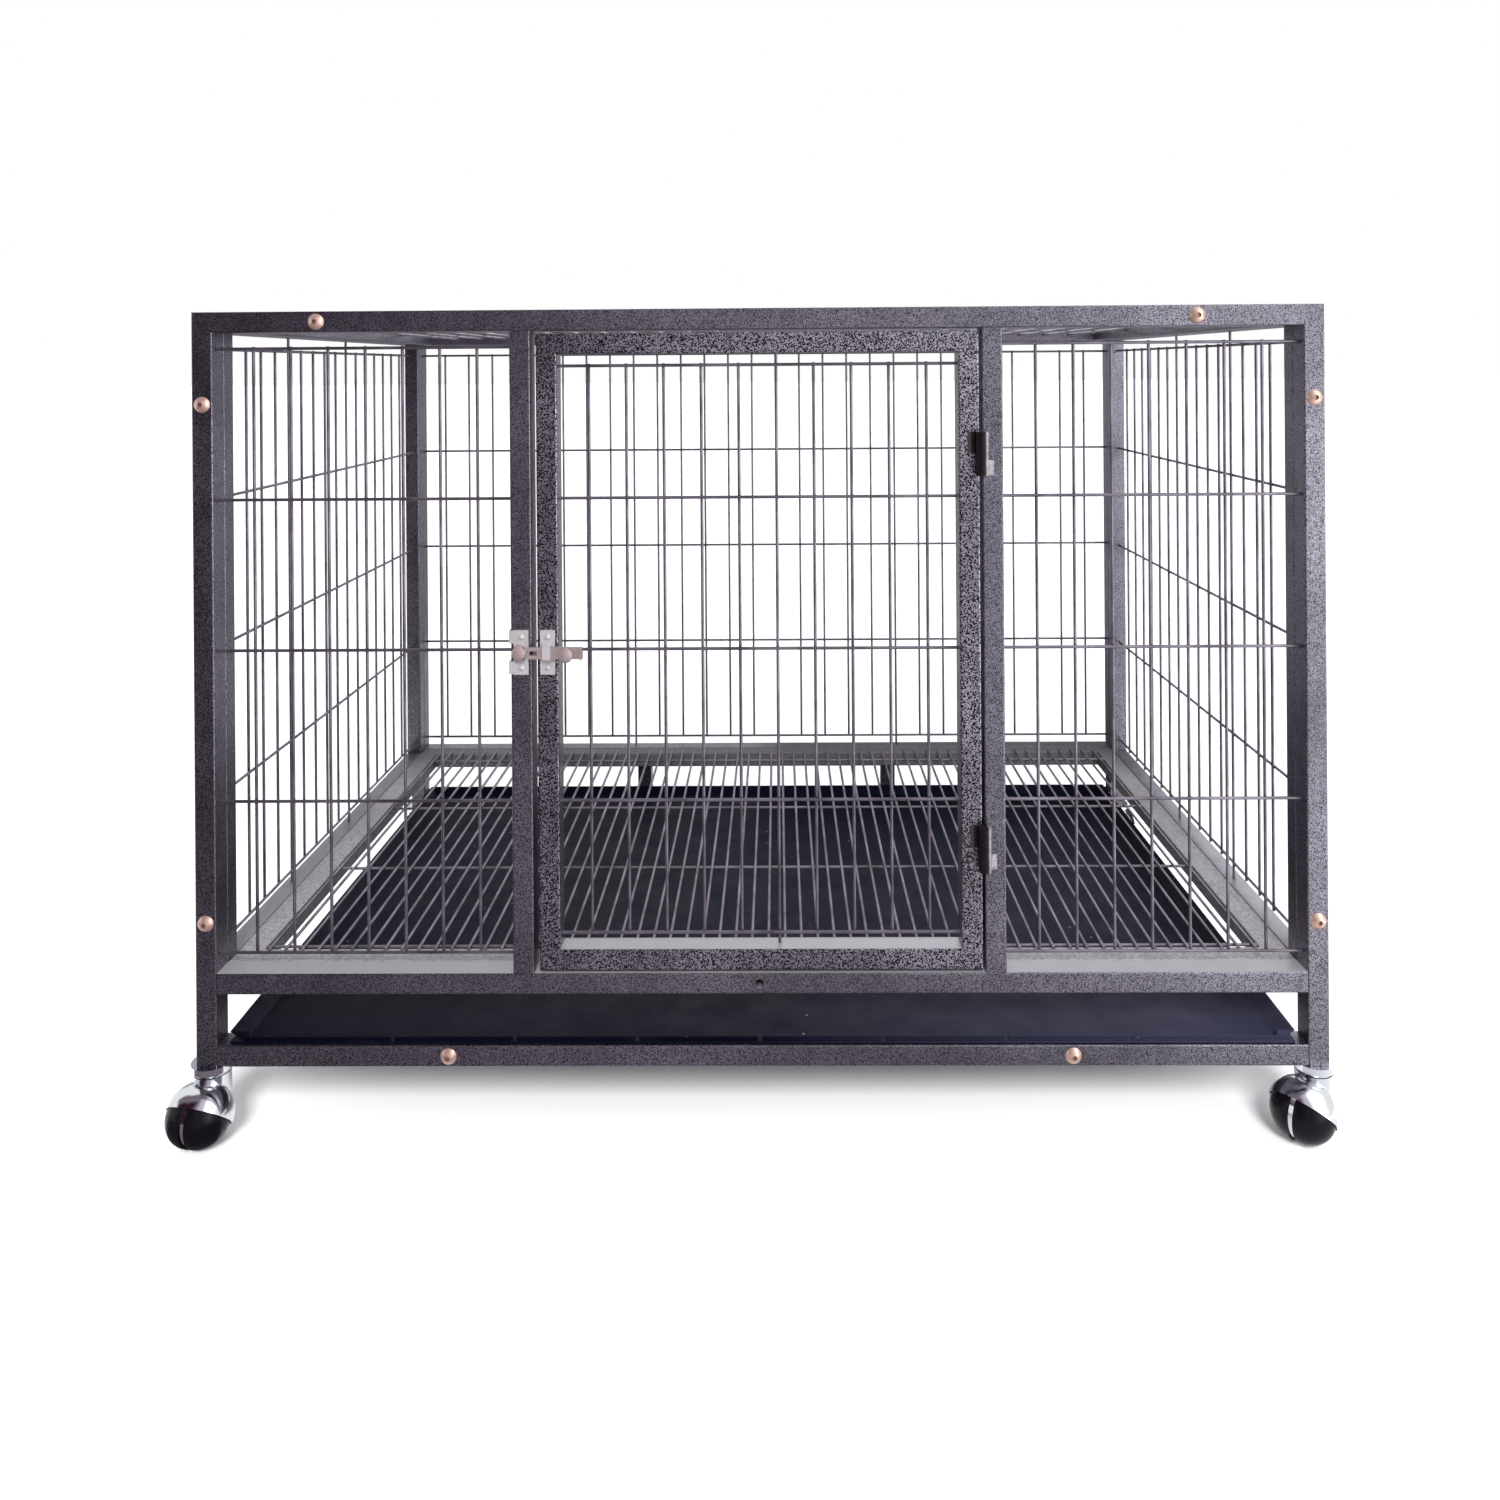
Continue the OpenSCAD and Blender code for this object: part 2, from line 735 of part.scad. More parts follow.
// Domed knob riveted to the bar
knob_x = bar_tip + 37;
module latch_knob() {
  stem = 6;
  head_h = 5;
  dome_r = 11;
  color("#b9a5a2")
    translate([knob_x, bar_y - bar_t, latch_z - 1])
      rotate([90, 0, 0]) {
        cylinder(h = knob_stand, d = stem);
        translate([0, 0, knob_stand])
          intersection() {
            cylinder(h = head_h, d = knob_d);
            translate([0, 0, head_h - dome_r]) sphere(r = dome_r);
          }
      }
}

// Threaded blocks in the feet of the posts
module caster_sockets() {
  w = tube_face - 2 * tube_wall - 2 * plug_fit;
  d = tube_depth - 2 * tube_wall - 2 * plug_fit;
  color("silver")
    for (c = [FL, FR, RL, RR])
      translate([c[0], c[1], caster_h])
        difference() {
          translate([-w / 2, -d / 2, 0]) cube([w, d, socket_h]);
          translate([0, 0, -cut]) cylinder(h = socket_h + 2 * cut, d = stem_d + pin_clear);
        }
}

// Places a caster drawn at the origin, trailing along +X
module at_foot(c) {
  translate([c[0], c[1], 0]) rotate([0, 0, c[2]]) children();
}

// Cup under the post and the stem through it, from the swivel neck up into the socket
module caster_stem(c) {
  color("#c4ccd0")
    at_foot(c) {
      translate([0, 0, stem_end]) cylinder(h = caster_h + socket_h - stem_end, d = stem_d);
      translate([0, 0, cup_low]) cylinder(h = cup_h / 3, d1 = cup_d - cup_h / 2, d2 = cup_d);
      translate([0, 0, cup_low + cup_h / 3]) cylinder(h = cup_h * 2 / 3, d = cup_d);
    }
}
module caster_stem_fl() { caster_stem(FL); }
module caster_stem_fr() { caster_stem(FR); }
module caster_stem_rl() { caster_stem(RL); }
module caster_stem_rr() { caster_stem(RR); }

// Half space below the tilted mouth of a hood
module mouth() {
  big = 4 * hood_r;
  translate(ball) rotate([0, -hood_tilt, 0]) translate([-big / 2, -big / 2, -big]) cube(big);
}

// Round plate in the wheel's plane
module disc(r, t) {
  translate(ball) rotate([90, 0, 0]) cylinder(h = t, r = r, center = true);
}

// Two half balls, parted along the axle by the web
module half_balls(r) {
  translate(ball)
    for (s = [-1, 1])
      rotate([s * 90, 0, 0])
        translate([0, 0, web_t / 2])
          rotate_extrude()
            intersection() {
              circle(r = r);
              square(r);
            }
}

// Chrome hood, its neck and the web that carries the axle between the wheel halves
module caster_hood(c) {
  neck_low = wheel_r + 13;
  neck_d = cup_d * 0.9;
  web_r = wheel_r - 2;
  color("#c4ccd0")
    at_foot(c)
      difference() {
        union() {
          difference() {
            union() {
              half_balls(hood_r);
              disc(hood_r, web_t);
            }
            mouth();
          }
          translate([0, 0, neck_low]) cylinder(h = neck_top - neck_low, d = neck_d);
          disc(web_r, web_t);
        }
        half_balls(hood_in);
        translate([0, 0, stem_end - knuckle_gap])
          cylinder(h = neck_top - stem_end + cut, d = stem_d + pin_clear);
        disc(axle_d / 2 + pin_clear / 2, web_t + 2 * cut);
      }
}
module caster_hood_fl() { caster_hood(FL); }
module caster_hood_fr() { caster_hood(FR); }
module caster_hood_rl() { caster_hood(RL); }
module caster_hood_rr() { caster_hood(RR); }

axle_len = 2 * wheel_r * 0.7;
module caster_axle(c) {
  color("silver") at_foot(c) disc(axle_d / 2, axle_len);
}
module caster_axle_fl() { caster_axle(FL); }
module caster_axle_fr() { caster_axle(FR); }
module caster_axle_rl() { caster_axle(RL); }
module caster_axle_rr() { caster_axle(RR); }

// Ball wheel split into two halves by the web, pressed on the axle
module caster_wheel(c) {
  color("#1c1b20")
    at_foot(c)
      difference() {
        half_balls(wheel_r);
        disc(2 * wheel_r, web_t + 2 * web_gap);
        disc(axle_d / 2 + pin_fit / 2, axle_len + 2 * pin_fit);
      }
}
module caster_wheel_fl() { caster_wheel(FL); }
module caster_wheel_fr() { caster_wheel(FR); }
module caster_wheel_rl() { caster_wheel(RL); }
module caster_wheel_rr() { caster_wheel(RR); }

front_frame();
front_mesh_left();
front_mesh_right();
back_frame();
back_mesh();
left_frame();
left_mesh();
right_frame();
right_mesh();
roof_frame();
roof_mesh();
floor_frame();
floor_grate();
tray_runners();
runner_plugs();
tray();
front_bolts();
back_bolts();
weld_nuts();
door_frame();
door_mesh();
hinge_knuckles();
hinge_tabs();
hinge_pins();
latch_keeper();
keeper_screws();
latch_bracket();
bracket_screws();
latch_bar();
latch_knob();
caster_sockets();
caster_stem_fl();
caster_stem_fr();
caster_stem_rl();
caster_stem_rr();
caster_hood_fl();
caster_hood_fr();
caster_hood_rl();
caster_hood_rr();
caster_axle_fl();
caster_axle_fr();
caster_axle_rl();
caster_axle_rr();
caster_wheel_fl();
caster_wheel_fr();
caster_wheel_rl();
caster_wheel_rr();
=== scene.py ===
import math
import bpy
from mathutils import Matrix, Vector


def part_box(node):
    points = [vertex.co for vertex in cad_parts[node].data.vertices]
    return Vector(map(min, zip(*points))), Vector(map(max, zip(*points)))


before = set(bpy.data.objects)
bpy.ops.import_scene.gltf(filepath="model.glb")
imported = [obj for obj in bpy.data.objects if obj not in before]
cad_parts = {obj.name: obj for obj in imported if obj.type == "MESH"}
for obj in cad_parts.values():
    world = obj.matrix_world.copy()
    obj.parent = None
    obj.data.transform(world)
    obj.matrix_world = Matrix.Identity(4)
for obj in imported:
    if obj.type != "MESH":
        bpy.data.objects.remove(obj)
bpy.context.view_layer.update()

scene = bpy.context.scene
scene.view_settings.view_transform = "Standard"

WHITE = (1.0, 1.0, 1.0)
BLACK = (0.0, 0.0, 0.0)

# places on the cage, in metres
CAGE_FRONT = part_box("front_frame")[0][1]
CAGE_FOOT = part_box("front_frame")[0][2]
TRAY_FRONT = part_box("tray")[0][1]
pin_low, pin_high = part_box("hinge_pins")
PIN_X = (pin_low[0] + pin_high[0]) / 2

# most of a noise texture's values lie between these
NOISE_LOW = 0.3
NOISE_HIGH = 0.7
COAT_ROUGH = 0.1


def rgba(color):
    return (*color, 1.0)


def scaled(color, factor):
    """The same hue, made lighter or darker."""
    return tuple(factor * v for v in color)


class Graph:
    """Shader nodes of a material or a world, added and linked by short calls."""

    def __init__(self, owner, output="ShaderNodeOutputMaterial"):
        owner.use_nodes = True
        self.owner = owner
        self.tree = owner.node_tree
        self.tree.nodes.clear()
        self.out = self.add(output)
        self.coord = self.add("ShaderNodeTexCoord").outputs["Object"]

    def add(self, kind, **values):
        node = self.tree.nodes.new(kind)
        for key, value in values.items():
            setattr(node, key, value)
        return node

    def link(self, a, b):
        self.tree.links.new(a, b)

    def put(self, socket, value):
        if isinstance(value, bpy.types.NodeSocket):
            self.link(value, socket)
        else:
            socket.default_value = value

    def stretch(self, scale):
        """Coordinates scaled by a different amount along each axis."""
        n = self.add("ShaderNodeMapping")
        self.link(self.coord, n.inputs["Vector"])
        n.inputs["Scale"].default_value = scale
        return n.outputs["Vector"]

    def axis(self, name):
        """One coordinate of the point, in metres."""
        n = self.add("ShaderNodeSeparateXYZ")
        self.link(self.coord, n.inputs[0])
        return n.outputs[name]

    def upward(self):
        """How far the surface looks up: 1 on a level top, 0 on a wall."""
        n = self.add("ShaderNodeSeparateXYZ")
        self.link(self.add("ShaderNodeNewGeometry").outputs["Normal"], n.inputs[0])
        return n.outputs["Z"]

    def noise(self, scale, detail, rough=0.55, vector=None, distortion=0.0):
        n = self.add("ShaderNodeTexNoise")
        self.link(vector or self.coord, n.inputs["Vector"])
        n.inputs["Scale"].default_value = scale
        n.inputs["Detail"].default_value = detail
        n.inputs["Roughness"].default_value = rough
        n.inputs["Distortion"].default_value = distortion
        return n.outputs["Fac"]

    def cells(self, scale):
        """Distance to the nearest of many scattered points."""
        n = self.add("ShaderNodeTexVoronoi")
        self.link(self.coord, n.inputs["Vector"])
        n.inputs["Scale"].default_value = scale
        return n.outputs["Distance"]

    def span(self, value, start, end, low, high):
        """Goes from low at start to high at end, and stays there."""
        n = self.add("ShaderNodeMapRange")
        self.link(value, n.inputs["Value"])
        n.inputs["From Min"].default_value = start
        n.inputs["From Max"].default_value = end
        n.inputs["To Min"].default_value = low
        n.inputs["To Max"].default_value = high
        return n.outputs["Result"]

    def fade(self, value, start, end, most=1.0):
        """Nothing at start, most at end."""
        return self.span(value, start, end, 0.0, most)

    def vary(self, noise, low, high):
        """A noise spread over a range of values."""
        return self.span(noise, NOISE_LOW, NOISE_HIGH, low, high)

    def math(self, operation, a, b):
        n = self.add("ShaderNodeMath", operation=operation)
        self.put(n.inputs[0], a)
        self.put(n.inputs[1], b)
        return n.outputs["Value"]

    def times(self, a, b):
        return self.math("MULTIPLY", a, b)

    def ramp(self, value, stops):
        n = self.add("ShaderNodeValToRGB")
        self.link(value, n.inputs["Fac"])
        elements = n.color_ramp.elements
        while len(elements) < len(stops):
            elements.new(0.5)
        for element, (position, color) in zip(elements, stops):
            element.position = position
            element.color = rgba(color)
        return n.outputs["Color"]

    def mix(self, share, a, b):
        n = self.add("ShaderNodeMix", data_type="RGBA")
        self.link(share, n.inputs["Factor"])
        for socket, color in ((n.inputs["A"], a), (n.inputs["B"], b)):
            self.put(socket, rgba(color) if isinstance(color, tuple) else color)
        return n.outputs["Result"]

    def bump(self, height, strength, distance, normal=None):
        n = self.add("ShaderNodeBump")
        self.link(height, n.inputs["Height"])
        n.inputs["Strength"].default_value = strength
        n.inputs["Distance"].default_value = distance
        if normal:
            self.link(normal, n.inputs["Normal"])
        return n.outputs["Normal"]

    def glow(self, kind, color, strength):
        """An emission or background shader."""
        n = self.add(kind)
        n.inputs["Color"].default_value = rgba(color)
        n.inputs["Strength"].default_value = strength
        return n

    def diffuse(self, grey):
        n = self.add("ShaderNodeBsdfDiffuse")
        n.inputs["Color"].default_value = (grey, grey, grey, 1.0)
        return n

    def choose(self, share, a, b):
        """Shader a where share is 0, and b where it is 1."""
        n = self.add("ShaderNodeMixShader")
        self.link(share, n.inputs[0])
        self.link(a.outputs[0], n.inputs[1])
        self.link(b.outputs[0], n.inputs[2])
        return n

    def finish(self, shader):
        self.link(shader.outputs[0], self.out.inputs["Surface"])
        return self.owner

    def shade(self, color, rough, metallic, normal, specular=0.5, coat=0.0, tint=WHITE):
        n = self.add("ShaderNodeBsdfPrincipled")
        self.link(color, n.inputs["Base Color"])
        self.link(rough, n.inputs["Roughness"])
        self.put(n.inputs["Metallic"], metallic)
        self.link(normal, n.inputs["Normal"])
        n.inputs["Specular IOR Level"].default_value = specular
        n.inputs["Specular Tint"].default_value = rgba(tint)
        n.inputs["Coat Weight"].default_value = coat
        n.inputs["Coat Roughness"].default_value = COAT_ROUGH
        return self.finish(n)


def material_graph(name):
    return Graph(bpy.data.materials.new(name))


# hammered paint: how veins and flecks add up to its relief, and where its three shades lie on that
VEIN_SHARE = 0.72
FLECK_SHARE = 0.36
FLECKS_PER_VEIN = 0.9
PIT_LEVEL = 0.46
MID_LEVEL = 0.50
FLECK_LEVEL = 0.53
# painted light on faces that look up: a pale coat that starts above the tray and thins out towards the
# back
LIT_TOP_UP = (0.80, 0.95)
LIT_TOP_Z = (0.10, 0.14)
LIT_TOP_Y = (-0.30, 0.25)
LIT_TOP_MOST = 0.92
LIT_TOP_AT_BACK = 0.25
LIT_TOP_METALLIC = 0.05
# where painted shade darkens the floor frame towards the back
BACK_SHADE_Y = (0.16, 0.31)
BACK_SHADE_MOST = 0.85


def hammered(name, dark, mid, light, grain, contrast, shift=0.0, rough=(0.32, 0.44),
             metallic=0.95, coat=0.0, painted_light=None, back_shade=None):
    """Silver-vein paint: dark pits between raised pale flecks, with smudges and rubbed spots, and, where
    asked, painted light on faces that look up and painted shade at the back.
    """
    g = material_graph(name)
    vein = g.noise(grain, detail=2.0, rough=0.6, distortion=0.4)
    fleck = g.cells(FLECKS_PER_VEIN * grain)
    relief = g.math("ADD", g.times(vein, VEIN_SHARE), g.times(fleck, FLECK_SHARE))
    half = contrast / 2
    col = g.ramp(relief, [(PIT_LEVEL - half + shift, dark),
                          (MID_LEVEL + shift, mid),
                          (FLECK_LEVEL + half + shift, light)])
    smudge = g.fade(g.noise(scale=7.0, detail=4.0, rough=0.6), 0.40, 0.70, most=0.55)
    col = g.mix(smudge, col, scaled(mid, 0.55))
    rub = g.fade(g.noise(scale=38.0, detail=5.0, rough=0.7), 0.60, 0.74, most=0.3)
    col = g.mix(rub, col, scaled(mid, 1.4))
    # painted shade: darker towards the back of the cage
    if back_shade:
        col = g.mix(g.fade(g.axis("Y"), *BACK_SHADE_Y, most=BACK_SHADE_MOST), col, back_shade)
    # painted light: faces that look up get a pale, less metallic coat, fainter towards the back
    if painted_light:
        lit_top = g.fade(g.upward(), *LIT_TOP_UP, most=LIT_TOP_MOST)
        lit_top = g.times(lit_top, g.fade(g.axis("Z"), *LIT_TOP_Z))
        lit_top = g.times(lit_top, g.span(g.axis("Y"), *LIT_TOP_Y, 1.0, LIT_TOP_AT_BACK))
        col = g.mix(lit_top, col, painted_light)
        metallic = g.span(lit_top, 0.0, 1.0, metallic, LIT_TOP_METALLIC)
    sheen = g.vary(g.noise(scale=55.0, detail=3.0), *rough)
    grain_bump = g.bump(relief, strength=0.25, distance=0.0005)
    return g.shade(col, sheen, metallic, grain_bump, specular=0.4, coat=coat)


# hinge: a painted highlight makes the leaf by the post pale from just past the pin, and the barrel ends
# at the door's side
LEAF_START = PIN_X + 0.0025
LEAF_BLEND = 0.0015
BARREL_SIDE = (LEAF_START - 0.016, LEAF_START - 0.011)


def hinge_paint(dark, bright):
    """Dark worn barrel, with a painted highlight on the leaf beside the post."""
    g = material_graph("hinge_paint")
    patch = g.noise(scale=260.0, detail=4.0, rough=0.65)
    col = g.ramp(patch, [(0.36, dark), (0.66, scaled(dark, 3.0))])
    # painted highlight: the lit side, beside the post, turns pale
    lit_leaf = g.fade(g.axis("X"), LEAF_START, LEAF_START + LEAF_BLEND)
    col = g.mix(g.times(lit_leaf, g.span(patch, 0.3, 0.6, 0.45, 1.0)), col, bright)
    col = g.mix(g.span(g.axis("X"), *BARREL_SIDE, 0.85, 0.0), col, scaled(bright, 0.25))
    sheen = g.vary(g.noise(scale=90.0, detail=2.0), 0.40, 0.55)
    pits = g.bump(patch, strength=0.2, distance=0.0003)
    return g.shade(col, sheen, 0.6, pits, specular=0.4)


CHIP = (0.30, 0.29, 0.30)


def painted_wire(name, dark, light, metallic):
    """Dipped wire paint with thin spots and slow changes of shade."""
    g = material_graph(name)
    middle = tuple((a + b) / 2 for a, b in zip(dark, light))
    patch = g.noise(scale=24.0, detail=4.0, rough=0.65)
    col = g.ramp(patch, [(0.34, dark), (0.52, middle), (0.72, light)])
    chips = g.fade(g.noise(scale=240.0, detail=3.0, rough=0.7), 0.66, 0.74, most=0.6)
    col = g.mix(chips, col, CHIP)
    sheen = g.vary(g.noise(scale=90.0, detail=2.0), 0.30, 0.48)
    ripple = g.bump(g.noise(scale=420.0, detail=2.0), strength=0.18, distance=0.0003)
    return g.shade(col, sheen, metallic, ripple)


# painted light on the tray: a pale strip behind its front lip, brighter to the right
TRAY_LIT_Y = (TRAY_FRONT + 0.15, TRAY_FRONT + 0.07)
TRAY_LIT_X = (0.0, 0.45)
TRAY_LIT = (0.040, 0.040, 0.076)
TRAY_SCUFF = (0.036, 0.036, 0.062)
TRAY_SPECK = (0.32, 0.30, 0.32)


def tray_plastic():
    """Dark pressed plastic with long scuffs, a few pale specks, and painted light in a strip behind its
    lip.
    """
    g = material_graph("tray_plastic")
    tone = g.noise(scale=5.0, detail=4.0, rough=0.6)
    col = g.ramp(tone, [(0.3, (0.0015, 0.0015, 0.006)), (0.7, (0.003, 0.003, 0.011))])
    long_way = g.stretch((6.0, 90.0, 60.0))
    scuff = g.noise(scale=1.0, detail=5.0, rough=0.7, vector=long_way)
    col = g.mix(g.fade(scuff, 0.60, 0.76, most=0.30), col, TRAY_SCUFF)
    # painted light: a pale strip behind the lip, brighter to the right
    painted_light = g.times(g.fade(g.axis("Y"), *TRAY_LIT_Y), g.fade(g.axis("X"), *TRAY_LIT_X))
    col = g.mix(painted_light, col, TRAY_LIT)
    speck = g.fade(g.cells(46.0), 0.075, 0.045)
    some = g.fade(g.noise(scale=9.0, detail=2.0), 0.52, 0.60, most=0.8)
    col = g.mix(g.times(speck, some), col, TRAY_SPECK)
    sheen = g.vary(g.noise(scale=30.0, detail=4.0), 0.46, 0.60)
    grain = g.bump(g.noise(scale=700.0, detail=2.0), strength=0.12, distance=0.0003)
    return g.shade(col, sheen, 0.0, grain, specular=0.18, tint=(0.62, 0.62, 1.0))


# scratches run along Z
BRUSH = (600.0, 600.0, 60.0)
# the keeper's plate ends and its dome begins between these, in front of the frame
DOME_Y = (CAGE_FRONT - 0.003, CAGE_FRONT - 0.0015)


def metal(name, color, stain, rough, grime=0.3, metallic=1.0, wave=0.0, hollow_shade_reach=0.0, dome=None):
    """Plated metal with fine scratches and stains, and with painted shade in its recesses or a tinted
    dome.
    """
    g = material_graph(name)
    spot = g.fade(g.noise(scale=70.0, detail=5.0, rough=0.65), 0.48, 0.72, most=grime)
    col = g.mix(spot, color, stain)
    if dome:
        col = g.mix(g.span(g.axis("Y"), *DOME_Y, 1.0, 0.0), col, dome)
    # painted shade: ambient occlusion darkens the recesses
    if hollow_shade_reach:
        hollow_shade = g.add("ShaderNodeAmbientOcclusion", only_local=True)
        hollow_shade.inputs["Distance"].default_value = hollow_shade_reach
        col = g.mix(g.span(hollow_shade.outputs["AO"], 0.5, 0.95, 0.6, 0.0), col, scaled(stain, 0.3))
    scratch = g.noise(scale=1.0, detail=4.0, rough=0.7, vector=g.stretch(BRUSH))
    normal = g.bump(scratch, strength=0.05, distance=0.0002)
    if wave:
        normal = g.bump(g.noise(scale=30.0, detail=1.0), wave, distance=0.004, normal=normal)
    return g.shade(col, g.vary(scratch, *rough), metallic, normal)


def glossy_plastic(name, color):
    """Moulded gloss plastic with fine swirl marks and a little dust."""
    g = material_graph(name)
    haze = g.fade(g.noise(scale=60.0, detail=5.0, rough=0.7), 0.5, 0.75, most=0.4)
    col = g.mix(haze, color, scaled(color, 2.6))
    sheen = g.vary(g.noise(scale=120.0, detail=3.0), 0.20, 0.32)
    swirl = g.bump(g.noise(scale=500.0, detail=2.0), strength=0.04, distance=0.0002)
    return g.shade(col, sheen, 0.0, swirl, specular=0.12, coat=0.06)


# finishes of the cage
# colour of the painted light on faces that look up
TOP_LIGHT_PAINT = (0.40, 0.392, 0.415)
NICKEL_TONE = (0.62, 0.60, 0.61)
NICKEL_STAIN = (0.44, 0.40, 0.39)
FRAME_PAINT = hammered("frame_paint", dark=(0.021, 0.019, 0.024), mid=(0.100, 0.092, 0.113),
                       light=(0.295, 0.28, 0.328), grain=1050.0, contrast=0.12, painted_light=TOP_LIGHT_PAINT)
DOOR_PAINT = hammered("door_paint", dark=(0.0012, 0.001, 0.0013), mid=(0.016, 0.0145, 0.018),
                      light=(0.41, 0.383, 0.445), grain=720.0, contrast=0.03, shift=0.025,
                      coat=0.3, painted_light=TOP_LIGHT_PAINT)
# the floor frame gets a lighter, less metallic copy of the frame paint: painted light on its tops
FLOOR_LIT_PAINT = hammered("floor_lit_paint", dark=(0.27, 0.262, 0.275), mid=(0.36, 0.35, 0.367),
                       light=(0.47, 0.46, 0.48), grain=340.0, contrast=0.18,
                       rough=(0.45, 0.60), metallic=0.1, back_shade=(0.085, 0.081, 0.09))
WIRE = painted_wire("mesh_wire", dark=(0.105, 0.090, 0.112), light=(0.28, 0.25, 0.298),
                    metallic=0.85)
GRATE = painted_wire("grate_wire", dark=(0.105, 0.093, 0.113), light=(0.31, 0.280, 0.330),
                     metallic=0.45)
TRAY = tray_plastic()
COPPER = metal("bolt_plate", color=(0.66, 0.44, 0.37), stain=(0.34, 0.18, 0.12),
               rough=(0.26, 0.40), grime=0.5, metallic=0.6, hollow_shade_reach=0.003)
ZINC = metal("zinc_plate", color=(0.60, 0.61, 0.63), stain=(0.35, 0.35, 0.36), rough=(0.30, 0.50))
NICKEL = metal("latch_nickel", NICKEL_TONE, NICKEL_STAIN, rough=(0.40, 0.56), metallic=0.45)
KEEPER = metal("keeper_nickel", NICKEL_TONE, NICKEL_STAIN, rough=(0.42, 0.58), metallic=0.45,
               dome=(0.44, 0.33, 0.32))
BLUSH = metal("latch_bar_nickel", color=(0.42, 0.335, 0.34), stain=(0.30, 0.215, 0.21),
              rough=(0.46, 0.60), grime=0.4, metallic=0.45)
CHROME = metal("caster_chrome", color=(0.74, 0.76, 0.79), stain=(0.58, 0.60, 0.64),
               rough=(0.11, 0.19), grime=0.25, wave=0.02)
HINGE = hinge_paint(dark=(0.0065, 0.0035, 0.005), bright=(0.54, 0.51, 0.55))
WHEEL = glossy_plastic("wheel_plastic", color=(0.005, 0.004, 0.007))


def dress(material, *names):
    """Give CAD nodes their finish."""
    for name in names:
        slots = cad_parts[name].data.materials
        slots.clear()
        slots.append(material)


dress(FRAME_PAINT, "front_frame", "back_frame", "left_frame", "right_frame", "roof_frame", "tray_runners")
dress(FLOOR_LIT_PAINT, "floor_frame")
dress(DOOR_PAINT, "door_frame")
dress(HINGE, "hinge_tabs", "hinge_knuckles")
dress(WIRE, "front_mesh_left", "front_mesh_right", "back_mesh", "left_mesh", "right_mesh", "roof_mesh",
      "door_mesh")
dress(GRATE, "floor_grate")
dress(TRAY, "tray")
dress(COPPER, "front_bolts", "back_bolts")
dress(ZINC, "weld_nuts", "runner_plugs", "hinge_pins", "caster_sockets")
dress(KEEPER, "latch_keeper")
dress(NICKEL, "keeper_screws", "latch_bracket", "bracket_screws")
dress(BLUSH, "latch_bar", "latch_knob")
for corner in ("fl", "fr", "rl", "rr"):
    dress(CHROME, "caster_stem_" + corner, "caster_hood_" + corner)
    dress(ZINC, "caster_axle_" + corner)
    dress(WHEEL, "caster_wheel_" + corner)

# softly rounded edges on the moulded and pressed parts, in metres
EDGE_ROUND = {"tray": 0.0005, "latch_keeper": 0.0003, "latch_bracket": 0.0003, "latch_bar": 0.0005}
WELD_REACH = 0.00002
EDGE_STEPS = 2
EDGE_ANGLE = math.radians(40)
for name, width in EDGE_ROUND.items():
    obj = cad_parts[name]
    weld = obj.modifiers.new("join", "WELD")
    weld.merge_threshold = WELD_REACH
    bevel = obj.modifiers.new("round", "BEVEL")
    bevel.width = width
    bevel.segments = EDGE_STEPS
    bevel.limit_method = "ANGLE"
    bevel.angle_limit = EDGE_ANGLE
    bevel.harden_normals = True


def strip(name, half, profile, material):
    """Studio sheet: a line of Y and Z points swept from -half to half along X."""
    points = [(x, y, z) for y, z in profile for x in (-half, half)]
    faces = [(i, i + 1, i + 3, i + 2) for i in range(0, len(points) - 2, 2)]
    data = bpy.data.meshes.new(name)
    data.from_pydata(points, [], faces)
    data.materials.append(material)
    obj = bpy.data.objects.new(name, data)
    scene.collection.objects.link(obj)
    return obj


# studio floor: white to the eye and in reflections, with the shadow, and greyer as a light source
FLOOR_HALF = 60.0
FLOOR_Z = -0.0005
FLOOR_SEEN = 1.33
FLOOR_GLOW = 0.08
FLOOR_DIM = 0.55


def floor_material():
    g = material_graph("studio_floor")
    path = g.add("ShaderNodeLightPath")
    seen = g.add("ShaderNodeAddShader")
    g.link(g.diffuse(FLOOR_SEEN).outputs[0], seen.inputs[0])
    g.link(g.glow("ShaderNodeEmission", WHITE, FLOOR_GLOW).outputs[0], seen.inputs[1])
    eye = g.math("MAXIMUM", path.outputs["Is Camera Ray"], path.outputs["Is Glossy Ray"])
    return g.finish(g.choose(eye, g.diffuse(FLOOR_DIM), seen))


strip("studio_floor", FLOOR_HALF, [(-FLOOR_HALF, FLOOR_Z), (FLOOR_HALF, FLOOR_Z)], floor_material())

# world: plain white background, and a softer light on the cage
SKY_TONE = (0.97, 0.98, 1.0)
SKY_STRENGTH = 0.50


def studio_world():
    g = Graph(bpy.data.worlds.new("studio"), "ShaderNodeOutputWorld")
    path = g.add("ShaderNodeLightPath")
    eye = g.math("MAXIMUM", path.outputs["Is Camera Ray"], path.outputs["Is Transmission Ray"])
    eye = g.math("MAXIMUM", eye, path.outputs["Is Glossy Ray"])
    soft = g.glow("ShaderNodeBackground", SKY_TONE, SKY_STRENGTH)
    white = g.glow("ShaderNodeBackground", WHITE, 1.0)
    return g.finish(g.choose(eye, soft, white))


scene.world = studio_world()


def lamp(name, kind, power, direction):
    obj = bpy.data.objects.new(name, bpy.data.lights.new(name, kind))
    obj.data.energy = power
    obj.rotation_euler = direction.to_track_quat("-Z", "Y").to_euler()
    scene.collection.objects.link(obj)
    return obj


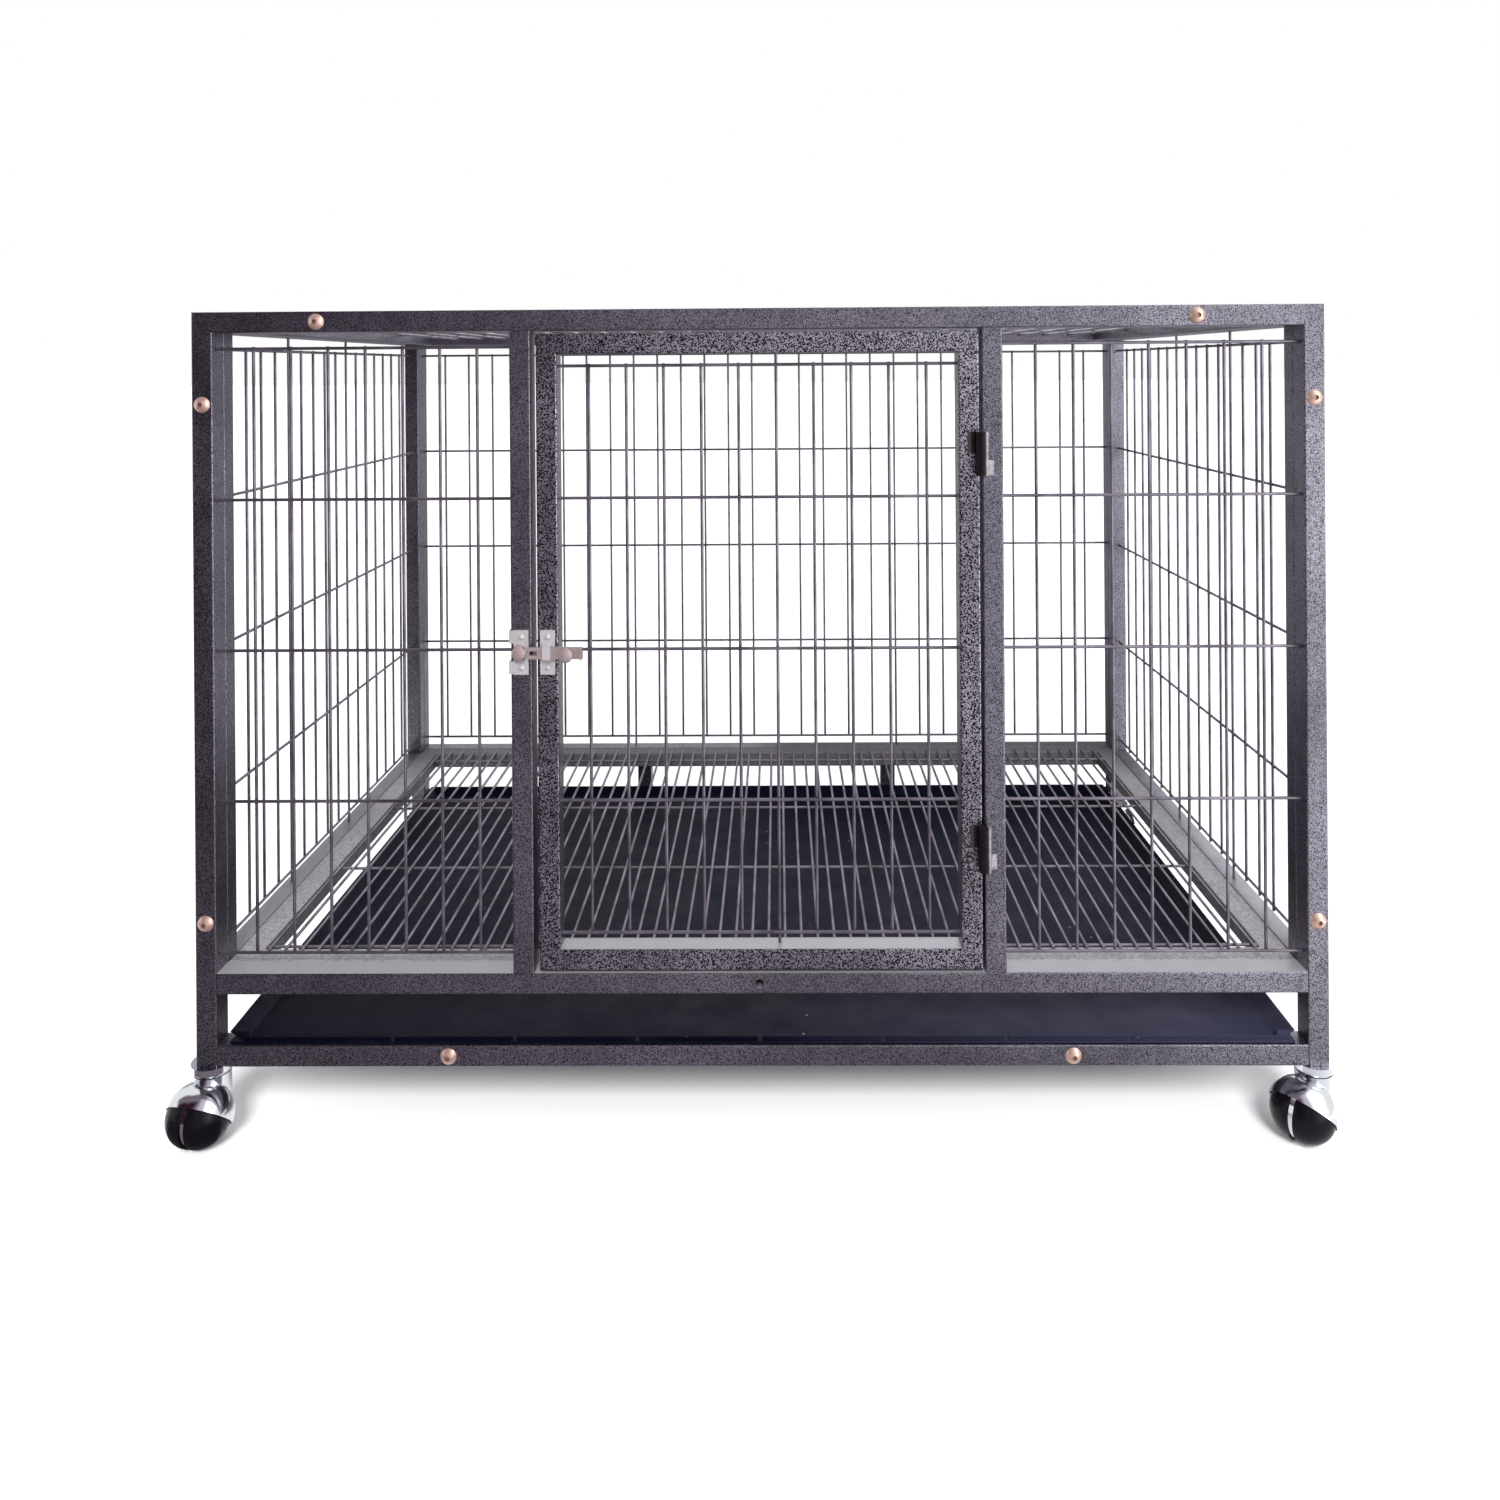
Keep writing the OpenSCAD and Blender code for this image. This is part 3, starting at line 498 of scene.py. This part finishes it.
# sun from the front and above, which reflections don't show, and a weak softbox at the right
SUN_DIRECTION = Vector((-0.04, 1.0, -0.78))
SUN_POWER = 2.5
SUN_ANGLE = math.radians(18)
SOFTBOX_PLACE = Vector((2.1, -1.6, 1.3))
SOFTBOX_TARGET = Vector((0.2, -0.2, 0.4))
SOFTBOX_SIZE = (1.2, 1.6)
SOFTBOX_POWER = 8.0

sun = lamp("sun_soft", "SUN", SUN_POWER, SUN_DIRECTION)
sun.data.angle = SUN_ANGLE
sun.visible_glossy = False
softbox = lamp("softbox_right", "AREA", SOFTBOX_POWER, SOFTBOX_TARGET - SOFTBOX_PLACE)
softbox.location = SOFTBOX_PLACE
softbox.data.shape = "RECTANGLE"
softbox.data.size, softbox.data.size_y = SOFTBOX_SIZE


def card(name, half, profile, strength, tint):
    """Graduated studio card that only reflections see."""
    g = material_graph(name)
    glow = g.glow("ShaderNodeEmission", WHITE, strength)
    g.link(tint(g), glow.inputs["Color"])
    obj = strip(name, half, profile, g.finish(glow))
    obj.visible_camera = False
    obj.visible_diffuse = False
    obj.visible_shadow = False
    obj.visible_transmission = False


# card in front of and above the cage: its stripes fan out from a line behind the cage's middle,
# and FAN is the range of their slopes in X per metre of depth
COVE_HALF = 4.0
COVE_NEAR = -0.36
COVE_FAR = -2.6
COVE_FLOOR = 0.002
COVE_WALL_TOP = 2.4
COVE_ROOF_END = (0.2, 2.6)
COVE_STRENGTH = 1.9
FAN_Y = 0.667
FAN = (-0.6, 1.2)
COVE_STOPS = [
    (0.027, (0.015, 0.004, 0.012)), (0.133, (0.068, 0.040, 0.062)), (0.24, (0.235, 0.190, 0.235)),
    (0.327, (0.37, 0.335, 0.378)), (0.44, (0.29, 0.286, 0.303)), (0.573, (0.95, 0.965, 0.99)),
    (0.70, (1.5, 1.53, 1.56)), (1.0, (2.2, 2.24, 2.28))]
COVE_GREY = (0.42, 0.37, 0.42)
COVE_GREY_Y = (-1.1, -0.6)
COVE_DARK_Y = (-0.62, -0.50)


def cove_tint(g):
    """Dark at the left and bright at the right, greyer and then darker near the cage."""
    fan = g.math("DIVIDE", g.axis("X"), g.math("SUBTRACT", FAN_Y, g.axis("Y")))
    tone = g.ramp(g.fade(fan, *FAN), COVE_STOPS)
    tone = g.mix(g.fade(g.axis("Y"), *COVE_GREY_Y, most=0.36), tone, COVE_GREY)
    return g.mix(g.fade(g.axis("Y"), *COVE_DARK_Y, most=0.42), tone, BLACK)


card("cove", COVE_HALF,
     [(COVE_NEAR, COVE_FLOOR), (COVE_FAR, COVE_FLOOR), (COVE_FAR, COVE_WALL_TOP), COVE_ROOF_END],
     COVE_STRENGTH, cove_tint)

# cards behind the cage: a bright one up high, a grey floor and wall below it, and a low one close by
BACK_NEAR = 0.42
BACK_FAR = 1.7
BACK_FLOOR = 0.003
GLOW_LOW = 0.9
GLOW_HIGH = 1.8
GLOW_HALF = 1.8
GLOW_X = (-1.2, 1.2)
GLOW_STRENGTH = 2.0
FLAG_HALF = 2.4
FLAG_X = (-0.6, 0.6)
FLAG_STRENGTH = 1.0
LOW_HALF = 0.9
LOW_TOP = 0.3
LOW_X = (-0.03, 0.03)
LOW_Z = (0.05, LOW_TOP)


def glow_tint(g):
    """Dimmer at the left than at the right."""
    return g.ramp(g.fade(g.axis("X"), *GLOW_X),
                  [(0.0, (0.22, 0.215, 0.24)), (0.5, (0.80, 0.80, 0.84)), (1.0, (1.4, 1.4, 1.5))])


def flag_tint(g):
    """Grey, a little lighter at the right."""
    return g.ramp(g.fade(g.axis("X"), *FLAG_X),
                  [(0.0, (0.42, 0.41, 0.44)), (1.0, (0.56, 0.56, 0.60))])


def low_tint(g):
    """Pale at the left, black low down at the right."""
    dark = g.ramp(g.fade(g.axis("Z"), *LOW_Z),
                  [(0.0, (0.02, 0.02, 0.025)), (1.0, (0.36, 0.36, 0.39))])
    return g.mix(g.fade(g.axis("X"), *LOW_X), (0.70, 0.70, 0.74), dark)


card("back_glow", GLOW_HALF, [(BACK_FAR, GLOW_LOW), (BACK_FAR, GLOW_HIGH)], GLOW_STRENGTH, glow_tint)
card("back_flag", FLAG_HALF, [(BACK_NEAR, BACK_FLOOR), (BACK_FAR, BACK_FLOOR), (BACK_FAR, GLOW_LOW)],
     FLAG_STRENGTH, flag_tint)
card("low_flag", LOW_HALF, [(BACK_NEAR, BACK_FLOOR), (BACK_NEAR, LOW_TOP)], FLAG_STRENGTH, low_tint)

# camera: level and shifted down, with its focal length and centre in pixels of the photograph
PHOTO_PX = 1500.0
FOCAL_PX = 1200.936
CENTRE_PX = (764.48, 367.81)
SENSOR_MM = 36.0
YAW = 0.010421
ROLL = -0.007202
CAMERA_RISE = 0.659379
CAMERA_PLACE = Vector((0.020532, -1.481663, CAGE_FOOT + CAMERA_RISE))

camera = bpy.data.objects.new("camera", bpy.data.cameras.new("camera"))
camera.data.sensor_fit = "HORIZONTAL"
camera.data.sensor_width = SENSOR_MM
camera.data.lens = FOCAL_PX / PHOTO_PX * SENSOR_MM
camera.data.shift_x = (PHOTO_PX / 2 - CENTRE_PX[0]) / PHOTO_PX
camera.data.shift_y = (CENTRE_PX[1] - PHOTO_PX / 2) / PHOTO_PX
right = Vector((math.cos(YAW), math.sin(YAW), 0.0))
ahead = Vector((-math.sin(YAW), math.cos(YAW), 0.0))
above = Vector((0.0, 0.0, 1.0))
side = math.cos(ROLL) * right + math.sin(ROLL) * above
up = math.cos(ROLL) * above - math.sin(ROLL) * right
pose = Matrix((side, up, -ahead)).transposed().to_4x4()
pose.translation = CAMERA_PLACE
camera.matrix_world = pose
scene.collection.objects.link(camera)
scene.camera = camera
